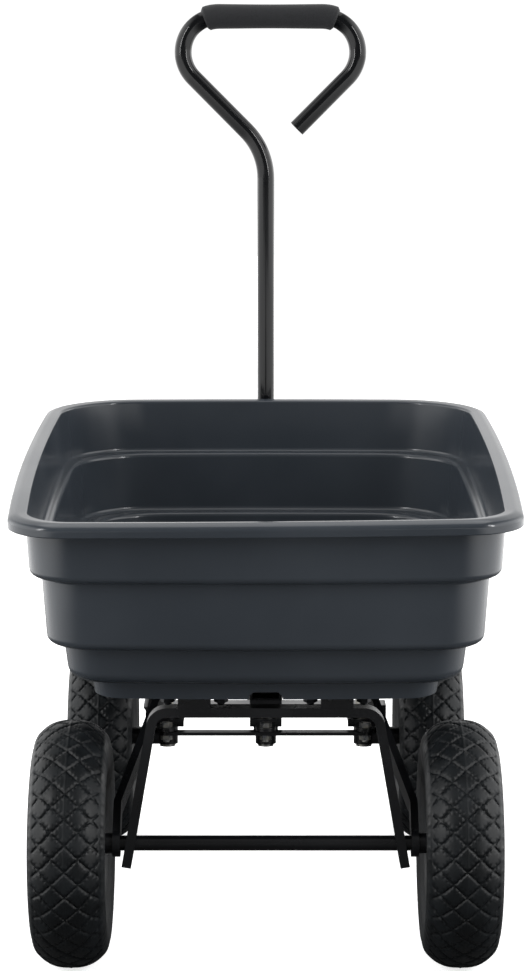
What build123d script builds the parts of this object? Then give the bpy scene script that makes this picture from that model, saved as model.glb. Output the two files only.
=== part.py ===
from math import asin, cos, degrees, radians, sin, tan
import os

from build123d import *

os.makedirs("parts", exist_ok=True)

# Driving dimensions, in millimetres and degrees. X runs across the cart, Y towards the handle, Z up.
# Layout
wheelbase_inset = 272.0
rear_overhang = 130.0
drawbar_reach = 177.0
wheel_track = 408.0
kingpin_past_tyre = 40.0
deck_tilt = 4.0
deck_above_axle = 161.0
# Clearances
running_gap = 0.05
seat_gap = 0.1
side_gap = 0.3
hook_gap = 1.0
through = 5.0
bolt_past_nut = 3.0
# Tub
tub_length = 852.0
tub_half_rear = 260.5
tub_half_middle = 278.0
tub_half_front = 275.0
tub_middle = 500.0
end_bow = 8.0
corner_rear = 55.0
corner_front = 100.0
tub_wall = 3.5
tub_floor = 4.0
lip_drop = 15.0
tier_tops = (0.0, 70.0, 144.0, 185.0)
tub_depth = 205.0
tier_insets = ((18.0, 22.0), (34.0, 39.0), (56.0, 61.0), (84.0, 87.0))
channel_width = 36.0
channel_height = 8.0
# Wheels
tyre_dia = 260.0
tyre_width = 80.0
tyre_wall = 5.0
bead_dia = 101.0
rim_flange_dia = 120.0
rim_half_width = 27.0
rim_steel = 2.0
rim_root = 37.0
rim_dish = 12.0
rim_lip = 2.0
hub_dia = 42.0
hub_length = 56.0
bearing_dia = 35.0
bearing_width = 11.0
bearing_shoulder = 4.0
rim_bolt_circle = 62.0
rim_bolt_count = 4
rim_bolt_dia = 6.0
rim_bolt_hex = 10.0
rim_bolt_head = 4.0
rim_nut = 5.0
valve_dia = 8.0
valve_offset = 12.0
valve_foot = 33.0
valve_bore = 3.0
bead_thickness = 7.0
shoulder_drop = 13.0
shoulder_share = 0.86
crown_thickness = 9.0
tube_half_width = 30.0
tube_room = 3.75
tube_rubber = 2.0
# Axles
axle_dia = 16.0
axle_end_past_hub = 10.0
axle_collar = 3.0
axle_chamfer = 1.0
axle_washer_dia = 30.0
washer_thickness = 2.0
cotter_dia = 4.0
cotter_length = 30.0
cotter_eye_dia = 11.2
cotter_eye_bore = 4.8
cotter_eye_thickness = 3.0
# Hoops of bent flat bar
hinge_bar = (10.0, 25.0)
hinge_past_tyre = 17.0
hinge_half_top = 118.0
hinge_top_drop = 19.5
hinge_foot_drop = 24.0
hoop_bend = 17.0
strut_bar = (8.0, 26.0)
strut_eye_dia = 29.0
strut_past_tyre = 6.5
strut_half_top = 110.0
strut_straight = 45.0
strut_reach = 150.0
strut_below_spine = 10.5
# Spine, pedestal and front beam
spine_width = 32.0
spine_height = 20.0
spine_wall = 2.0
spine_in_channel = 6.0
spine_start = 22.0
spine_past_front = 60.0
pedestal_size = 40.0
beam_width = 40.0
beam_height = 16.0
beam_wall = 2.5
beam_round = 3.0
beam_above_axle = 26.0
beam_past_kingpin = 24.0
kingpin_dia = 12.0
kingpin_head_dia = 20.0
kingpin_head = 3.0
kingpin_nut_hex = 19.0
kingpin_nut = 10.0
sleeve_dia = 26.0
sleeve_below_axle = 9.7
thrust_washer = 1.5
thrust_washer_dia = 28.0
cap_head = 3.0
cap_plug = 8.0
# Steering
strap_thickness = 4.0
strap_width = 42.0
arm_reach = 45.0
arm_above_axle = 15.0
arm_width = 24.0
head_width = 40.0
tie_bar_thickness = 4.0
tie_bar_width = 18.0
tie_bar_drop = 1.0
link_bolt_dia = 8.0
small_hex = 13.0
small_head = 5.5
small_nut = 6.5
# Drawbar and handle
drawbar_wall = 4.0
pivot_above_axle = 20.0
pivot_dia = 10.0
pivot_hex = 17.0
pivot_head = 6.5
pivot_nut = 9.0
ear_radius = 18.0
handle_dia = 22.0
handle_wall = 2.0
handle_side_gap = 0.5
handle_tail = 16.0
pole_length = 716.0
pole_bend = 88.0
loop_bend = 46.0
loop_rise = 172.0
loop_half = 113.0
loop_shift = 6.0
loop_end_drop = 144.0
grip_dia = 32.0
grip_half = 88.0
# Rest bar, latch and lever
rest_half = 85.0
rest_width = 30.0
rest_thickness = 4.0
pad_dia = 30.0
latch_reach = 350.0
latch_x = -58.0
lever_dia = 8.0
lever_ahead = 24.0
lever_drop = 44.0
lever_end_x = -126.0
lever_start_x = -12.0
lever_tip_x = -139.0
lever_tip_drop = 91.0
lever_grip_dia = 12.0
lever_grip_length = 50.0
hook_thickness = 5.0
striker_drop = 22.0
striker_half = 30.0
striker_half_width = 18.0
striker_ear_x = 13.5
striker_bolt_x = 22.5
hook_lip = 6.0
latch_bracket_half = 14.0
bracket_plate = 3.0
bracket_end = 24.0
spring_room = 12.0
spring_gap = 1.25
spring_wire = 1.5
spring_pitch = 2.4
spring_length = 9.0
# Bolts through the tub floor
tub_bolt_dia = 8.0
saddle_x = 75.0
saddle_width = 34.0
saddle_wing = 22.0
saddle_plate = 3.0

# Places worked out from the driving dimensions
wheelbase = tub_length - wheelbase_inset
overall_length = rear_overhang + wheelbase + drawbar_reach + ear_radius
rear_y = rear_overhang - overall_length / 2
front_y = rear_y + wheelbase
pivot_y = front_y + drawbar_reach
axle_height = tyre_dia / 2
half_track = wheel_track / 2
tyre_inside = half_track - tyre_width / 2
tube_half_height = (tyre_dia / 2 - bead_dia / 2 - crown_thickness - tyre_wall - 2 * tube_room) / 2
kingpin_x = tyre_inside - kingpin_past_tyre
hinge_half_foot = tyre_inside - hinge_past_tyre
strut_half_foot = tyre_inside - strut_past_tyre
deck_height = axle_height + deck_above_axle
hinge_top_height = deck_height - hinge_top_drop
hinge_foot_height = axle_height - hinge_foot_drop
beam_bottom = axle_height + beam_above_axle
sleeve_bottom = axle_height - sleeve_below_axle
arm_bottom = axle_height + arm_above_axle
pivot_height = axle_height + pivot_above_axle
bend_height = pivot_height + pole_length
loop_height = bend_height + loop_rise
loop_end_height = loop_height - loop_end_drop
lever_tip_height = deck_height - lever_tip_drop
slope = radians(deck_tilt)
spine_bottom = spine_in_channel - spine_height
strut_rise = deck_above_axle + strut_reach * tan(slope) + spine_bottom / cos(slope) - strut_below_spine
rim_rear = (tub_depth * sin(slope) - rear_overhang) / cos(slope)
link_y = front_y - arm_reach
arm_top = arm_bottom + strap_thickness
tie_bar_top = arm_bottom - tie_bar_drop
latch_y = rear_y + latch_reach


def deck(y=0.0, z=0.0, x=0.0):
    """A plane parallel to the tub floor, measured from above the rear axle."""
    base = Plane(origin=(0, rear_y, deck_height), x_dir=(1, 0, 0), z_dir=(0, -sin(slope), cos(slope)))
    return Plane(origin=base.from_local_coords((x, y, z)), x_dir=base.x_dir, z_dir=base.z_dir)


def save(part, name):
    """Label one finished piece and write it."""
    part.label = name
    export_step(part, f"parts/{name}.step")


def gather(pieces):
    """Separate solids of one kind in a single piece."""
    with BuildPart() as group:
        for piece in pieces:
            add(piece)
    return group.part


def slab(place, x_span, y_span, z_span):
    """A rectangular block between limits in the given plane."""
    with BuildPart() as block:
        with BuildSketch(place.offset(z_span[0])):
            with Locations(((x_span[0] + x_span[1]) / 2, (y_span[0] + y_span[1]) / 2)):
                Rectangle(x_span[1] - x_span[0], y_span[1] - y_span[0])
        extrude(amount=z_span[1] - z_span[0])
    return block.part


def disc(place, outer_dia, height, bore_dia=0.0):
    """A round bar, washer or sleeve standing on a plane."""
    with BuildPart() as ring:
        with BuildSketch(place):
            Circle(outer_dia / 2)
            if bore_dia:
                Circle(bore_dia / 2, mode=Mode.SUBTRACT)
        extrude(amount=height)
    return ring.part


def hex_bolt(place, shank_dia, length, flats, head):
    """A hexagon bolt whose head stands on the plane and whose shank goes down."""
    with BuildPart() as bolt:
        with BuildSketch(place):
            RegularPolygon(flats / 2, 6, major_radius=False)
        extrude(amount=head)
        with BuildSketch(place):
            Circle(shank_dia / 2)
        extrude(amount=-length)
        chamfer(bolt.faces().sort_by(Axis(place.origin, place.z_dir))[0].edges(), shank_dia / 10)
    return bolt.part


def hex_nut(place, bore_dia, flats, height):
    """A hexagon nut standing on the plane, bored to slide over its bolt."""
    with BuildPart() as nut:
        with BuildSketch(place):
            RegularPolygon(flats / 2, 6, major_radius=False)
            Circle(bore_dia / 2 + seat_gap, mode=Mode.SUBTRACT)
        extrude(amount=height)
    return nut.part


def across(x, y, z):
    """A plane whose normal runs along +X."""
    return Plane(origin=(x, y, z), x_dir=(0, 1, 0), z_dir=(1, 0, 0))


# Tub
def tub_outline(place, inset):
    """The tub's plan shape at one level, drawn in from the rim by the inset."""
    rear = rim_rear + inset
    front = rim_rear + tub_length - inset
    half_rear = tub_half_rear - inset
    half_middle = tub_half_middle - inset
    half_front = tub_half_front - inset
    with BuildSketch(place) as plan:
        with BuildLine():
            for side in (1, -1):
                ThreePointArc(
                    (side * half_rear, rear + end_bow),
                    (side * half_middle, rim_rear + tub_middle),
                    (side * half_front, front - end_bow),
                )
            ThreePointArc((-half_rear, rear + end_bow), (0, rear), (half_rear, rear + end_bow))
            ThreePointArc((-half_front, front - end_bow), (0, front), (half_front, front - end_bow))
        make_face()
        corners = plan.vertices().sort_by(Axis.Y)
        fillet(corners[:2], corner_rear - inset / 4)
        corners = plan.vertices().sort_by(Axis.Y)
        fillet(corners[-2:], corner_front - inset / 3)
    return plan.sketch


def tier(top, bottom, inset_top, inset_bottom):
    """One tapered step of the tub, solid."""
    upper = tub_outline(deck(z=tub_depth - top), inset_top)
    lower = tub_outline(deck(z=tub_depth - bottom), inset_bottom)
    with BuildPart() as step:
        loft(sections=[lower, upper], ruled=True)
    return step.part


def tub_shell():
    """The stepped tub with its turned-down rim and the channel that drops over the spine."""
    bottoms = tier_tops[1:] + (tub_depth,)
    levels = list(zip(tier_tops, bottoms, tier_insets))
    outside = [tier(max(top, tub_wall), bottom, *insets) for top, bottom, insets in levels]
    inside = []
    for top, bottom, (inset_top, inset_bottom) in levels:
        start = tub_wall if top == 0 else top - tub_floor
        inside.append(tier(start, bottom - tub_floor, inset_top + tub_wall, inset_bottom + tub_wall))
    rim_top = deck(z=tub_depth)
    rib_span = (rim_rear + tier_insets[3][1], rim_rear + tub_length - tier_insets[3][1])
    half_channel = channel_width / 2
    rib_roof = channel_height + tub_floor
    half_rib = half_channel + tub_floor
    rib = slab(deck(), (-half_rib, half_rib), rib_span, (tub_floor / 4, rib_roof))
    cut_span = (rib_span[0] - tub_floor * through, rib_span[1] + tub_floor * through)
    channel = slab(deck(), (-half_channel, half_channel), cut_span, (-through, channel_height))
    with BuildPart() as tub:
        for step in outside:
            add(step)
        for step in inside:
            add(step, mode=Mode.SUBTRACT)
        for inner_inset, thickness in ((tier_insets[0][0] + tub_wall, tub_wall), (tub_wall, lip_drop)):
            with BuildSketch(rim_top):
                add(tub_outline(Plane.XY, 0))
                add(tub_outline(Plane.XY, inner_inset), mode=Mode.SUBTRACT)
            extrude(amount=-thickness)
        add(rib)
        add(channel, mode=Mode.SUBTRACT)
        for hole in tub_bolt_places():
            under = hole.offset(-tub_floor - through)
            bolt_hole = disc(under, tub_bolt_dia + 2 * seat_gap, tub_floor + 2 * through)
            add(bolt_hole, mode=Mode.SUBTRACT)
    return tub.part


# Wheels
def wheel_section(centre, points):
    """A ring turned about the wheel's axle from points of (axial, radial)."""
    with BuildPart() as ring:
        with BuildSketch(Plane(origin=centre, x_dir=(1, 0, 0), z_dir=(0, 0, 1))):
            with BuildLine():
                Polyline(*points, close=True)
            make_face()
        revolve(axis=Axis(centre, (1, 0, 0)))
    return ring.part


def radial_disc(centre, offset, start, end, dia):
    """A round bar standing out from the axle line along +Z at an axial offset."""
    place = Plane(origin=(centre[0] + offset, centre[1], centre[2] + start))
    return disc(place, dia, end - start)


def tyre(centre):
    """A pneumatic tyre, open at the bead."""
    bead = bead_dia / 2
    crown = tyre_dia / 2
    half = tyre_width / 2
    bead_x = rim_half_width - rim_steel
    shoulder = (half * shoulder_share, crown - shoulder_drop)
    with BuildPart() as ring:
        with BuildSketch(Plane(origin=centre, x_dir=(1, 0, 0), z_dir=(0, 0, 1))):
            with BuildLine():
                for side in (1, -1):
                    Line((side * (bead_x - bead_thickness), bead), (side * bead_x, bead))
                    Spline(
                        (side * bead_x, bead),
                        (side * half, bead + 0.5 * (crown - bead)),
                        (side * shoulder[0], shoulder[1]),
                        tangents=((0.2 * side, 1), (-0.5 * side, 1)),
                    )
                    Spline(
                        (side * (bead_x - bead_thickness), bead),
                        (side * (half - tyre_wall), bead + 0.5 * (crown - bead)),
                        (0, crown - crown_thickness),
                        tangents=((0.3 * side, 1), (-side, 0)),
                    )
                ThreePointArc(shoulder, (0, crown), (-shoulder[0], shoulder[1]))
            make_face()
        revolve(axis=Axis(centre, (1, 0, 0)))
    return ring.part


def inner_tube(centre, side):
    """The air tube inside the tyre, with the valve moulded to it and open to the inside."""
    middle = bead_dia / 2 + tube_half_height + tyre_wall
    with BuildPart() as ring:
        with BuildSketch(Plane(origin=centre, x_dir=(1, 0, 0), z_dir=(0, 0, 1))):
            with Locations((0, middle)):
                Ellipse(tube_half_width, tube_half_height)
                Ellipse(tube_half_width - tube_rubber, tube_half_height - tube_rubber, mode=Mode.SUBTRACT)
        revolve(axis=Axis(centre, (1, 0, 0)))
        valve_top = middle - tube_half_height + 2 * valve_dia
        add(radial_disc(centre, side * valve_offset, valve_foot, valve_top, valve_dia))
        add(radial_disc(centre, side * valve_offset, valve_foot, middle, valve_bore), mode=Mode.SUBTRACT)
    return ring.part


def rim_halves(centre, side):
    """Two pressed steel dishes, back to back on the hub, bored for the bolts and the valve."""
    hub = hub_dia / 2 + seat_gap
    seat = bead_dia / 2 - seat_gap
    flange = rim_flange_dia / 2
    face = seat_gap / 2
    steel = rim_steel
    edge = rim_half_width
    profile = (
        (face, hub), (steel, hub), (steel, rim_root), (rim_dish + steel, seat - steel),
        (edge + steel, seat - steel), (edge + steel + rim_lip, flange),
        (edge + rim_lip, flange), (edge, seat), (rim_dish, seat), (face, rim_root + steel / 2),
    )
    halves = []
    for facing in (1, -1):
        with BuildPart() as half:
            add(wheel_section(centre, [(facing * along, out) for along, out in profile]))
            with BuildSketch(across(*centre)):
                with PolarLocations(rim_bolt_circle / 2, rim_bolt_count, start_angle=45):
                    Circle(rim_bolt_dia / 2 + seat_gap)
            extrude(amount=through, both=True, mode=Mode.SUBTRACT)
            if facing == side:
                start = rim_bolt_circle / 2
                hole = radial_disc(centre, side * valve_offset, start, flange, valve_dia + 2)
                add(hole, mode=Mode.SUBTRACT)
        halves.append(half.part)
    return gather(halves)


def wheel_hub(centre):
    """A turned hub with a seat for a bearing at each end."""
    half = hub_length / 2
    with BuildPart() as hub:
        with BuildSketch(across(*centre)):
            Circle(hub_dia / 2)
            Circle(bearing_dia / 2 - bearing_shoulder, mode=Mode.SUBTRACT)
        extrude(amount=half, both=True)
        for start in (-half, half - bearing_width):
            with BuildSketch(across(centre[0] + start, centre[1], centre[2])):
                Circle(bearing_dia / 2 + seat_gap)
            extrude(amount=bearing_width, mode=Mode.SUBTRACT)
    return hub.part


def bearings(centre):
    """Two sealed ball bearings, each as its outline."""
    rings = []
    for start in (-hub_length / 2, hub_length / 2 - bearing_width):
        place = across(centre[0] + start, centre[1], centre[2])
        rings.append(disc(place, bearing_dia, bearing_width, axle_dia + 2 * running_gap))
    return gather(rings)


def rim_bolts(centre, side):
    """Bolts through both rim halves with their nuts."""
    pieces = []
    for index in range(rim_bolt_count):
        turn = radians(45 + 360 / rim_bolt_count * index)
        y = centre[1] + rim_bolt_circle / 2 * cos(turn)
        z = centre[2] + rim_bolt_circle / 2 * sin(turn)
        outer = Plane(origin=(centre[0] + side * rim_steel, y, z), x_dir=(0, 1, 0), z_dir=(side, 0, 0))
        length = 2 * rim_steel + rim_nut + bolt_past_nut
        pieces.append(hex_bolt(outer, rim_bolt_dia, length, rim_bolt_hex, rim_bolt_head))
        pieces.append(hex_nut(outer.offset(-2 * rim_steel - rim_nut), rim_bolt_dia, rim_bolt_hex, rim_nut))
    return gather(pieces)


def write_wheel(centre, side, name):
    """Every piece of one wheel. The side is +1 or -1, the way the wheel's outer face looks."""
    save(tyre(centre), f"tyre_{name}")
    save(inner_tube(centre, side), f"inner_tube_{name}")
    save(rim_halves(centre, side), f"rim_halves_{name}")
    save(wheel_hub(centre), f"hub_{name}")
    save(bearings(centre), f"bearings_{name}")
    save(rim_bolts(centre, side), f"rim_bolts_{name}")


# Axles
def washers(y, side):
    """The washers on both sides of one hub."""
    inner = half_track - hub_length / 2 - side_gap - washer_thickness
    outer = half_track + hub_length / 2 + side_gap
    rings = []
    for start in (inner, outer):
        place = Plane(origin=(side * start, y, axle_height), x_dir=(0, 1, 0), z_dir=(side, 0, 0))
        rings.append(disc(place, axle_washer_dia, washer_thickness, axle_dia + 2 * seat_gap))
    return rings


def cotter_place():
    """How far from the cart's middle a cotter pin stands."""
    return half_track + hub_length / 2 + side_gap + washer_thickness + cotter_dia / 2 + seat_gap


def cotter_pin(y, side):
    """A cotter pin through the end of an axle, with its round eye on top."""
    x = side * cotter_place()
    place = Plane(origin=(x, y, axle_height - cotter_length / 2))
    eye = across(x, y, axle_height + cotter_length / 2 + cotter_dia)
    with BuildPart() as pin:
        add(disc(place, cotter_dia, cotter_length))
        with BuildSketch(eye.offset(-cotter_eye_thickness / 2)):
            Circle(cotter_eye_dia / 2)
            Circle(cotter_eye_bore / 2, mode=Mode.SUBTRACT)
        extrude(amount=cotter_eye_thickness)
    return pin.part


def cotter_hole(y, side):
    """The hole a cotter pin passes through."""
    place = Plane(origin=(side * cotter_place(), y, axle_height - axle_dia))
    return disc(place, cotter_dia + 2 * seat_gap, 2 * axle_dia)


def rear_axle():
    """A solid round axle with chamfered ends."""
    half = half_track + hub_length / 2 + axle_end_past_hub
    with BuildPart() as axle:
        add(disc(across(-half, rear_y, axle_height), axle_dia, 2 * half))
        chamfer(axle.faces().filter_by(Axis.X).edges(), axle_chamfer)
        for side in (1, -1):
            add(cotter_hole(rear_y, side), mode=Mode.SUBTRACT)
    return axle.part


def axle_sleeves():
    """Short tubes on the rear axle between the rear hoop and the wheels."""
    start = strut_half_foot + strut_bar[0] / 2 + side_gap
    end = half_track - hub_length / 2 - side_gap - washer_thickness
    rings = []
    for side in (1, -1):
        place = Plane(origin=(side * start, rear_y, axle_height), x_dir=(0, 1, 0), z_dir=(side, 0, 0))
        rings.append(disc(place, axle_dia + 2 * axle_collar, end - start, axle_dia + 2 * seat_gap))
    return gather(rings)


# Hoops
def hoop(place, half_top, half_foot, rise, bar, straight=0.0):
    """A flat bar bent into an arch. The plane's origin is below the middle of its top bar."""
    thickness, width = bar
    leg = [(half_top, rise), (half_foot, straight), (half_foot, 0)]
    if not straight:
        leg.pop()
    points = [(-x, y) for x, y in reversed(leg)] + leg
    with BuildPart() as arch:
        with BuildLine(place) as path:
            FilletPolyline(*points, radius=hoop_bend)
        start = path.line @ 0
        with BuildSketch(Plane(origin=start, x_dir=place.z_dir, z_dir=path.line % 0)):
            Rectangle(width, thickness)
        sweep(transition=Transition.ROUND)
    return arch.part


def hinge_hoop():
    """The arch under the tub that turns on the rear axle."""
    place = Plane(origin=(0, rear_y, hinge_foot_height), x_dir=(1, 0, 0), z_dir=(0, -1, 0))
    rise = hinge_top_height - hinge_foot_height
    with BuildPart() as frame:
        add(hoop(place, hinge_half_top, hinge_half_foot, rise, hinge_bar))
        bore = disc(across(-wheel_track, rear_y, axle_height), axle_dia + 2 * running_gap, 2 * wheel_track)
        add(bore, mode=Mode.SUBTRACT)
    return frame.part


def rear_hoop():
    """The chassis arch that leans forward from the rear axle to the spine."""
    rise = (strut_reach**2 + strut_rise**2) ** 0.5
    place = Plane(origin=(0, rear_y, axle_height), x_dir=(1, 0, 0), z_dir=(0, -strut_rise, strut_reach))
    with BuildPart() as frame:
        add(hoop(place, strut_half_top, strut_half_foot, rise, strut_bar, strut_straight))
        for side in (1, -1):
            eye = across(side * strut_half_foot - strut_bar[0] / 2, rear_y, axle_height)
            add(disc(eye, strut_eye_dia, strut_bar[0]))
        bore = disc(across(-wheel_track, rear_y, axle_height), axle_dia + 2 * seat_gap, 2 * wheel_track)
        add(bore, mode=Mode.SUBTRACT)
    return frame.part


# Chassis
def spine():
    """The rectangular tube under the tub, notched where it sits on the rear hoop."""
    half = spine_width / 2
    end = (wheelbase + spine_past_front) / cos(slope)
    top = spine_bottom + spine_height
    wall = spine_wall
    with BuildPart() as tube:
        add(slab(deck(), (-half, half), (spine_start, end), (spine_bottom, top)))
        inside = (spine_start - through, end + through)
        bore = slab(deck(), (wall - half, half - wall), inside, (spine_bottom + wall, top - wall))
        add(bore, mode=Mode.SUBTRACT)
        add(rear_hoop(), mode=Mode.SUBTRACT)
    return tube.part


def kingpin_places():
    """Where the three upright pins stand, left, middle and right."""
    return [(x, front_y) for x in (-kingpin_x, 0, kingpin_x)]


def front_beam():
    """The rectangular tube that carries the three upright pins."""
    half = kingpin_x + beam_past_kingpin
    wall = beam_wall
    with BuildPart() as beam:
        with BuildSketch(across(-half, front_y, beam_bottom + beam_height / 2)):
            RectangleRounded(beam_width, beam_height, beam_round)
            Rectangle(beam_width - 2 * wall, beam_height - 2 * wall, mode=Mode.SUBTRACT)
        extrude(amount=2 * half)
        for x, y in kingpin_places():
            place = Plane(origin=(x, y, beam_bottom - through))
            add(disc(place, kingpin_dia + 2 * seat_gap, beam_height + 2 * through), mode=Mode.SUBTRACT)
    return beam.part


def beam_caps():
    """Plastic plugs in the ends of the front beam."""
    half = kingpin_x + beam_past_kingpin
    middle = beam_bottom + beam_height / 2
    inset = 2 * beam_wall + 2 * seat_gap
    plugs = []
    for side in (1, -1):
        end = Plane(origin=(side * half, front_y, middle), x_dir=(0, 1, 0), z_dir=(side, 0, 0))
        with BuildPart() as plug:
            with BuildSketch(end):
                RectangleRounded(beam_width, beam_height, beam_round)
            extrude(amount=cap_head)
            with BuildSketch(end):
                Rectangle(beam_width - inset, beam_height - inset)
            extrude(amount=-cap_plug)
        plugs.append(plug.part)
    return gather(plugs)


def front_pedestal():
    """The square post between the front beam and the spine, with room for the middle pin's nut."""
    outer = pedestal_size
    inner = pedestal_size - 2 * beam_wall
    foot = Plane(origin=(0, front_y, beam_bottom + beam_height))
    under_spine = deck(z=spine_bottom)
    with BuildPart() as post:
        with BuildSketch(foot):
            Rectangle(outer, outer)
            Rectangle(inner, inner, mode=Mode.SUBTRACT)
        extrude(amount=deck_height)
        split(bisect_by=under_spine, keep=Keep.BOTTOM)
    return post.part


def kingpins():
    """Three upright pins, put in from below, with flat heads, and their nuts on top of the beam."""
    top = beam_bottom + beam_height
    low = sleeve_bottom - side_gap - kingpin_head
    length = top - low + kingpin_nut + bolt_past_nut
    pins = []
    for x, y in kingpin_places():
        head = Plane(origin=(x, y, low))
        with BuildPart() as pin:
            add(disc(head, kingpin_head_dia, kingpin_head))
            add(disc(head, kingpin_dia, length))
        pins.append(pin.part)
        pins.append(hex_nut(Plane(origin=(x, y, top)), kingpin_dia, kingpin_nut_hex, kingpin_nut))
    return gather(pins)


def thrust_washers():
    """The washers between the front beam and what turns under it."""
    level = beam_bottom - thrust_washer
    return gather([
        disc(Plane(origin=(x, y, level)), thrust_washer_dia, thrust_washer, kingpin_dia + 2 * seat_gap)
        for x, y in kingpin_places()
    ])


def rest_y():
    """How far along the deck the rest bar lies."""
    return (wheelbase + spine_past_front - rest_width / 2) / cos(slope)


def rest_bar():
    """The flat bar across the front of the spine that carries the rest pads."""
    span = (rest_y() - rest_width / 2, rest_y() + rest_width / 2)
    return slab(deck(), (-rest_half, rest_half), span, (spine_bottom - rest_thickness, spine_bottom))


def rest_pads():
    """Rubber buffers between the rest bar and the tub floor."""
    x = rest_half - pad_dia / 2
    height = -spine_bottom - side_gap
    return gather([disc(deck(rest_y(), spine_bottom, side * x), pad_dia, height) for side in (1, -1)])


# Steering
def under_beam(x, width, tail):
    """A sleeve on an upright pin with a strap welded on top, folded down and back into a steering arm."""
    top = beam_bottom - thrust_washer - side_gap
    back = front_y - strap_width / 2
    link = Plane(origin=(x, link_y, arm_bottom))
    with BuildPart() as head:
        add(disc(Plane(origin=(x, front_y, sleeve_bottom)), sleeve_dia, top - sleeve_bottom))
        block = (x - width / 2, x + width / 2)
        add(slab(Plane.XY, block, (back, front_y + tail), (top - strap_thickness, top)))
        add(slab(Plane.XY, block, (back, back + strap_thickness), (arm_bottom, top)))
        arm = (x - arm_width / 2, x + arm_width / 2)
        add(slab(Plane.XY, arm, (link_y, back + strap_thickness), (arm_bottom, arm_top)))
        add(disc(link, arm_width, strap_thickness))
        pin_hole = Plane(origin=(x, front_y, sleeve_bottom - through))
        add(disc(pin_hole, kingpin_dia + 2 * running_gap, beam_bottom), mode=Mode.SUBTRACT)
        link_bore = link_bolt_dia + 4 * running_gap
        link_hole = disc(link.offset(-through), link_bore, strap_thickness + 2 * through)
        add(link_hole, mode=Mode.SUBTRACT)
    return head.part


def stub_axle(side):
    """A stub axle with its collar, from inside the sleeve's wall to past the hub."""
    inner = kingpin_x + kingpin_dia / 2 + axle_collar + axle_chamfer
    end = half_track + hub_length / 2 + axle_end_past_hub
    collar = half_track - hub_length / 2 - side_gap - washer_thickness
    start = Plane(origin=(side * inner, front_y, axle_height), x_dir=(0, 1, 0), z_dir=(side, 0, 0))
    with BuildPart() as stub:
        add(disc(start, axle_dia, end - inner))
        chamfer(stub.faces().sort_by(Axis(start.origin, start.z_dir))[-1].edges(), axle_chamfer)
        add(disc(start, axle_dia + 2 * axle_collar, collar - inner))
        add(cotter_hole(front_y, side), mode=Mode.SUBTRACT)
    return stub.part


def knuckle(side):
    """A steering knuckle: sleeve, folded strap and stub axle, welded."""
    with BuildPart() as piece:
        add(under_beam(side * kingpin_x, strap_width, strap_width / 2))
        add(stub_axle(side))
    return piece.part


def steering_head():
    """The middle sleeve and strap that the drawbar turns."""
    return under_beam(0, head_width, strap_width / 2)


def drawbar():
    """A U-shaped channel from the steering head to the handle, with a stop behind the handle."""
    inner = handle_dia / 2 + handle_side_gap
    outer = inner + drawbar_wall
    start = front_y + sleeve_dia / 2
    low = pivot_height - ear_radius
    high = beam_bottom - thrust_washer - side_gap - strap_thickness
    stop = pivot_y - handle_dia / 2 - side_gap
    stop_top = pivot_height + handle_dia + ear_radius
    floor_end = pivot_y - handle_dia
    past_beam = front_y + beam_width / 2 + 4 * strap_thickness
    with BuildPart() as bar:
        for side in (1, -1):
            span = sorted((side * inner, side * outer))
            add(slab(Plane.XY, span, (start, pivot_y), (low, high)))
            add(slab(Plane.XY, span, (past_beam, pivot_y), (low, low + 2 * ear_radius)))
            add(slab(Plane.XY, span, (stop - 2 * ear_radius, stop), (low, stop_top)))
            add(disc(across(span[0], pivot_y, pivot_height), 2 * ear_radius, drawbar_wall))
        add(slab(Plane.XY, (-outer, outer), (start, floor_end), (low, low + drawbar_wall)))
        add(slab(Plane.XY, (-inner, inner), (stop - drawbar_wall, stop), (stop_top - ear_radius, stop_top)))
        hole = disc(across(-2 * outer, pivot_y, pivot_height), pivot_dia + 2 * seat_gap, 4 * outer)
        add(hole, mode=Mode.SUBTRACT)
    return bar.part


def pivot_bolt():
    """The bolt the handle folds on, with its nut."""
    outer = handle_dia / 2 + handle_side_gap + drawbar_wall
    length = 2 * outer + pivot_nut + bolt_past_nut
    bolt = hex_bolt(across(outer, pivot_y, pivot_height), pivot_dia, length, pivot_hex, pivot_head)
    nut = hex_nut(across(-outer - pivot_nut, pivot_y, pivot_height), pivot_dia, pivot_hex, pivot_nut)
    return gather([bolt, nut])


def tie_bar():
    """The flat bar that joins the three steering arms."""
    level = Plane(origin=(0, link_y, tie_bar_top - tie_bar_thickness))
    with BuildPart() as bar:
        with BuildSketch(level):
            SlotCenterToCenter(2 * kingpin_x, tie_bar_width)
            with Locations(*[(x, 0) for x, _ in kingpin_places()]):
                Circle(link_bolt_dia / 2 + seat_gap, mode=Mode.SUBTRACT)
        extrude(amount=tie_bar_thickness)
    return bar.part


def link_bolts():
    """The bolts that pin the steering arms to the tie bar, with the nuts under it."""
    head = arm_top + side_gap
    under_bar = tie_bar_top - tie_bar_thickness - small_nut
    length = head - under_bar + bolt_past_nut
    pieces = []
    for x, _ in kingpin_places():
        top = Plane(origin=(x, link_y, head))
        bottom = Plane(origin=(x, link_y, under_bar))
        pieces.append(hex_bolt(top, link_bolt_dia, length, small_hex, small_head))
        pieces.append(hex_nut(bottom, link_bolt_dia, small_hex, small_nut))
    return gather(pieces)


# Handle
def upright(level):
    """A plane facing the cart's rear through the handle, measured from the ground."""
    return Plane(origin=(0, pivot_y, level), x_dir=(1, 0, 0), z_dir=(0, -1, 0))


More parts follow.
